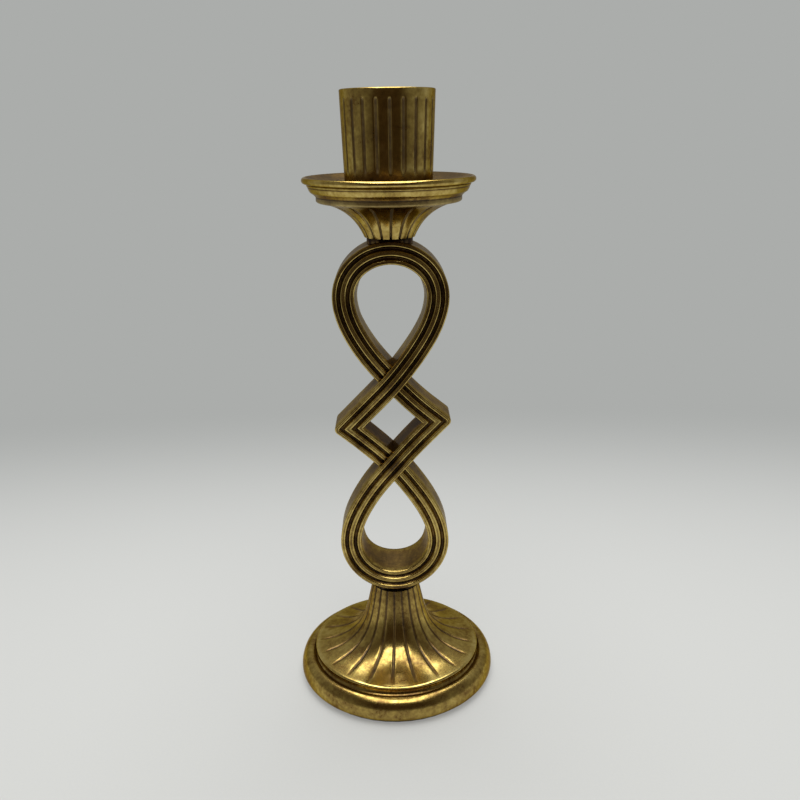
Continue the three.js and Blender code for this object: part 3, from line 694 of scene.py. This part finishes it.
pan_outline = (
    [Vector((bolt_hole, register_hole_top)), Vector((register_hole, register_hole_top)),
     Vector((register_hole, pan_seat))]
    + arc(step_centre, pan_step - pan_foot, step_rounding, -90, 0, step_steps)
    + [step_top - step_break] + slope + flared
    + arc(bead_centre, bead, bead, bead_first, bead_last, bead_steps) + lip_arc + dish
    + arc(fillet_centre, seat_fillet, seat_fillet, -90, fillet_last, fillet_steps)
    + [Vector((seat_radius, cup_seat)), Vector((cup_hole, cup_seat)),
       Vector((cup_hole, cup_hole_floor)), Vector((bolt_hole, cup_hole_floor))])
pan = spin_outline("drip_pan_dish", pan_outline, pan_columns)

# The patina is left in the corners, on the slope and in the dish, where dust lies as well
pan_tone, slope_tone, dish_tone, corner_tone, corner_reach = 0.03, 0.22, 0.5, 0.45, 0.35
dish_dust, step_dust, corner_dust = 0.16, 0.4, 0.15
over_bead_out = 0.3
over_bead = bead_centre + Vector((over_bead_out, bead))
dish_row = pan_outline.index(lip_arc[-1])
pan_dark = []
pan_dust = []
for row, spot in enumerate(pan_outline):
    to_corner = min((spot - place).length for place in (slope[0], band_top, over_bead))
    in_corner = max(0, 1 - to_corner / corner_reach)
    dark, dust = pan_tone + corner_tone * in_corner, corner_dust * in_corner
    if row >= dish_row:
        dark, dust = dark + dish_tone, dish_dust
    elif spot in slope[:-1]:
        dark += slope_tone
    elif spot.y < step_top.y:
        dust = step_dust
    pan_dark.append(dark)
    pan_dust.append(dust)
vertex_rows = outline_rows(pan, pan_outline)
set_finish(pan, [pan_dark[row] for row in vertex_rows], [pan_dust[row] for row in vertex_rows])
finish_piece(pan, antique_brass, "drip_pan", turned_crease)


# Candle cup: a cast socket for a 22 mm taper candle with 22 flutes between a plain foot and a plain
# rim band. It drops into the pan, and the screw at the bottom of its bore holds it down.
cup_height, cup_foot, cup_rim = 27.6, 14.2, 15.15
plain_foot, rim_band, cup_edge, foot_break = 2.4, 2.5, 0.45, 0.15
foot_row, rim_row = 1.2, 1.6
cup_flutes, cup_flute_width, cup_flute_depth, cup_flute_turn = 22, 1.15, 0.5, 2.5
# A flute grows to its full depth over four rows at each end, closer together at the top
flute_growth = (0.12, 0.38, 0.7, 0.92)
low_end, low_row, full_low = 0.2, 0.5, 2.2
high_end, high_row, full_high = 1.2, 0.3, 1.6
full_steps, edge_turns = 10, 5
socket, socket_depth, socket_mouth = 11.25, 20.6, 0.6
counterbore, counterbore_depth = 6.4, 4.4
cup_top = cup_seat + cup_height
socket_floor = cup_top - socket_depth
counterbore_floor = socket_floor - counterbore_depth
cup_spigot_end = cup_seat - cup_spigot_length
flute_low, flute_high = cup_seat + plain_foot, cup_top - rim_band
full_length = flute_high - flute_low - full_low - full_high


def cup_wall(height):
    """The point of the cup's tapered wall at a height."""
    return Vector((cup_foot + (cup_rim - cup_foot) * (height - cup_seat) / cup_height, height))


cup_base = [Vector((bolt_hole, cup_spigot_end)), Vector((cup_spigot, cup_spigot_end)),
            Vector((cup_spigot, cup_seat)), Vector((cup_foot - foot_break, cup_seat)),
            cup_wall(cup_seat + foot_break), cup_wall(cup_seat + foot_row), cup_wall(flute_low)]
flute_rows = [cup_wall(flute_low + low_end + low_row * i) for i in range(len(flute_growth))]
flute_rows += [cup_wall(flute_low + full_low + full_length * i / full_steps)
               for i in range(full_steps + 1)]
flute_rows += [cup_wall(flute_high - high_end + high_row * i) for i in range(len(flute_growth))]
edge_centre = Vector((cup_rim - cup_edge, cup_top - cup_edge))
mouth_centre = Vector((socket + socket_mouth, cup_top - socket_mouth))
cup_outline = (
    cup_base + flute_rows + [cup_wall(flute_high), cup_wall(cup_top - rim_row)]
    + arc(edge_centre, cup_edge, cup_edge, 0, 90, edge_turns)
    + arc(mouth_centre, socket_mouth, socket_mouth, 90, 180, edge_turns)
    + [Vector((socket, socket_floor)), Vector((counterbore, socket_floor)),
       Vector((counterbore, counterbore_floor)), Vector((bolt_hole, counterbore_floor))])
first_flute_row, last_flute_row = len(cup_base), len(cup_base) + len(flute_rows) - 1
cup_run = {row: (cup_flute_width, 1) for row in range(first_flute_row, last_flute_row + 1)}
for i, share in enumerate(flute_growth):
    cup_run[first_flute_row + i] = (cup_flute_width, share)
    cup_run[last_flute_row - i] = (cup_flute_width, share)

# The patina is darker near the pan and in the bore
cup_tone, cup_foot_tone, cup_foot_reach = 0.1, 0.3, 4
bore_tone, bore_margin = 0.55, 0.1
cup_film, cup_dull = 0.2, 0.4
cup_dark = []
for spot in cup_outline:
    near_foot = max(0, 1 - (spot.y - cup_seat) / cup_foot_reach)
    in_bore = spot.x < socket + bore_margin
    cup_dark.append(bore_tone if in_bore else cup_tone + cup_foot_tone * near_foot)
cup = spin_outline("fluted_candle_cup", cup_outline, cup_flutes * flute_columns)
cut_flutes(cup, cup_outline, cup_run, cup_flutes, cup_flute_depth, cup_flute_turn,
           cup_dark, cup_film, cup_dull)
finish_piece(cup, antique_brass, "candle_cup", turned_crease)


# Studio: a pale table that fades to grey behind, with a soft box overhead, dim sides and a dark room
# beyond the table's near edge, which gives the brass its dark middle and its gold flanks. Its sizes are
# in metres.
table_side, table_near, near_fade = 6, -0.32, -0.1
fade_middle, fade_stretch, fade_from, fade_to = 0.1, 0.5, 0.04, 0.42
table_far = linear("#ABADAB")
bpy.ops.object.select_all(action="DESELECT")
bpy.ops.mesh.primitive_plane_add(size=2 * table_side)
table = bpy.context.object
table.name = "table"
for vertex in table.data.vertices:
    vertex.co.y = max(vertex.co.y, table_near)

# Matt white paper: even and soft, with a fine tooth, drawn coarser than it is. Far from the holder, as
# the camera and the brass see it, it glows in the tone of the room's back, so no edge shows
paper_tooth = 0.8
paper, shader = new_material("matt_white_paper")
place = add_node(paper, "ShaderNodeTexCoord", {}).outputs["Object"]
squeezed = add_node(paper, "ShaderNodeMapping", {
    "Vector": place, "Location": (0, fade_middle, 0), "Scale": (fade_stretch, 1, 1)})
distance = add_node(paper, "ShaderNodeVectorMath", {0: squeezed.outputs[0]}, operation="LENGTH")
far = add_node(paper, "ShaderNodeMapRange", {
    "Value": distance.outputs["Value"], "From Min": fade_from, "From Max": fade_to},
    interpolation_type="SMOOTHSTEP")
parts = add_node(paper, "ShaderNodeSeparateXYZ", {"Vector": place})
near = add_node(paper, "ShaderNodeMapRange", {
    "Value": parts.outputs["Y"], "From Min": near_fade, "From Max": table_near},
    interpolation_type="SMOOTHSTEP")
away = add_node(paper, "ShaderNodeMath", {
    0: far.outputs[0], 1: near.outputs[0]}, operation="MAXIMUM")
tooth = add_node(paper, "ShaderNodeTexNoise", {
    "Vector": place, "Scale": 1 / (paper_tooth * MM), "Detail": 3})
paper_tone = add_node(paper, "ShaderNodeMix", {
    0: tooth.outputs["Fac"], 6: linear("#BABCB9"), 7: linear("#C1C2BF")}, data_type="RGBA")
link(paper, paper_tone.outputs[2], shader, "Base Color")
shader.inputs["Roughness"].default_value = 0.9
shader.inputs["Specular IOR Level"].default_value = 0.1
glow_share = add_node(paper, "ShaderNodeMapRange", {
    "Value": away.outputs[0], "To Min": 0.3, "To Max": 1})
glow_tone = add_node(paper, "ShaderNodeMix", {
    0: away.outputs[0], 6: linear("#EEEFED"), 7: table_far}, data_type="RGBA")
glow = add_node(paper, "ShaderNodeEmission", {"Color": glow_tone.outputs[2], "Strength": 1})
rays = add_node(paper, "ShaderNodeLightPath", {}).outputs
seen = add_node(paper, "ShaderNodeMath", {
    0: rays["Is Camera Ray"], 1: rays["Is Glossy Ray"]}, operation="ADD", use_clamp=True)
far_seen = add_node(paper, "ShaderNodeMath", {
    0: glow_share.outputs[0], 1: seen.outputs[0]}, operation="MULTIPLY")
faded = add_node(paper, "ShaderNodeMixShader", {
    0: far_seen.outputs[0], 1: shader.outputs[0], 2: glow.outputs[0]})
link(paper, faded.outputs[0], paper.node_tree.nodes["Material Output"], "Surface")
dress(table, paper)

# The soft box hangs over the holder
lamp_size, lamp_place, lamp_power = (0.76, 1.36), (0, -0.02, 1.0), 14
bpy.ops.object.light_add(type="AREA", location=lamp_place)
lamp = bpy.context.object
lamp.name = "soft_box"
lamp.data.shape = "RECTANGLE"
lamp.data.size, lamp.data.size_y = lamp_size
lamp.data.energy = lamp_power

# The room is dark towards the camera, dim at the sides and pale at the back
room_dark, room_side, room_back = linear("#43362C"), linear("#88867F"), linear("#A2A2A2")
room = bpy.data.worlds.new("studio_room")
room.use_nodes = True
bpy.context.scene.world = room
way = add_node(room, "ShaderNodeTexCoord", {}).outputs["Generated"]
parts = add_node(room, "ShaderNodeSeparateXYZ", {"Vector": way})
sideways = add_node(room, "ShaderNodeMath", {0: parts.outputs["X"]}, operation="ABSOLUTE")
side_share = add_node(room, "ShaderNodeMapRange", {
    "Value": sideways.outputs[0], "From Min": 0.45, "From Max": 0.92},
    interpolation_type="SMOOTHSTEP")
back_share = add_node(room, "ShaderNodeMapRange", {
    "Value": parts.outputs["Y"], "From Min": 0, "From Max": 0.35},
    interpolation_type="SMOOTHSTEP")
side_tone = add_node(room, "ShaderNodeMix", {
    0: side_share.outputs[0], 6: room_dark, 7: room_side}, data_type="RGBA")
back_tone = add_node(room, "ShaderNodeMix", {
    0: back_share.outputs[0], 6: side_tone.outputs[2], 7: room_back}, data_type="RGBA")
camera_ray = add_node(room, "ShaderNodeLightPath", {}).outputs["Is Camera Ray"]
room_tone = add_node(room, "ShaderNodeMix", {
    0: camera_ray, 6: back_tone.outputs[2], 7: table_far}, data_type="RGBA")
link(room, room_tone.outputs[2], room.node_tree.nodes["Background"], "Color")


# Camera: near the cup's height, looking down on the foot, as in the photograph. Its focal length is in
# pixels of a square picture, and its roll takes up part of the stem's lean.
view_from = Vector((0, -281.8, 198.9)) * MM
pitch, yaw, roll = math.radians(17.97), math.radians(-0.535), math.radians(-0.81)
focal_pixels, image_pixels, sensor, nearest = 850, 800, 36, 10
forward = Vector(
    (-math.cos(pitch) * math.sin(yaw), math.cos(pitch) * math.cos(yaw), -math.sin(pitch)))
level_right = Vector((math.cos(yaw), math.sin(yaw), 0))
level_up = level_right.cross(forward)
right = level_right * math.cos(roll) + level_up * math.sin(roll)
up = level_up * math.cos(roll) - level_right * math.sin(roll)
camera_data = bpy.data.cameras.new("camera")
camera_data.sensor_width = sensor
camera_data.lens = focal_pixels / image_pixels * sensor
camera_data.clip_start = nearest * MM
camera = bpy.data.objects.new("camera", camera_data)
bpy.context.scene.collection.objects.link(camera)
turn = Matrix((right, up, -forward)).transposed()
camera.matrix_world = Matrix.Translation(view_from) @ turn.to_4x4()
bpy.context.scene.camera = camera
bpy.context.scene.view_settings.view_transform = "Standard"
